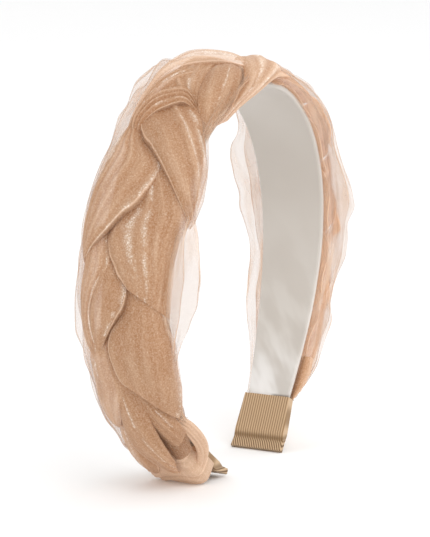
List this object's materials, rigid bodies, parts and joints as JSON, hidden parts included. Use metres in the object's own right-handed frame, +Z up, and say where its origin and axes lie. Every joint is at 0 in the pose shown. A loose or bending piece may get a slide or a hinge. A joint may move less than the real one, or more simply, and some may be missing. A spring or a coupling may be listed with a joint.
{
  "type": "braided headband",
  "caption": "Springy arched headband with a satin inner face, a wide flat braid of gathered sheer cloth outside and ribbon-covered tips.",
  "frame": {"origin": "on the surface that the headband stands on, under the middle of its outer box", "axes": "+Z up towards the crown, X from ear to ear with the left end on -X, Y across the band's width with the back edge on +Y"},
  "size_m": [0.1488, 0.0406, 0.1597],
  "materials": {
    "satin": "smooth silver-grey satin with a soft sheen",
    "ribbon": "tan grosgrain ribbon with fine lengthwise ribs",
    "organza": "gathered champagne organza with a fine metallic glitter, sheer at its edges"
  },
  "bodies": {
    "root": {"satin_band": "satin", "ribbon_tip_left": "ribbon", "ribbon_tip_right": "ribbon", "braid_strand_1": "organza", "braid_strand_2": "organza", "braid_strand_3": "organza", "braid_tail_left": "organza", "braid_tail_right": "organza"}
  },
  "joints": []
}
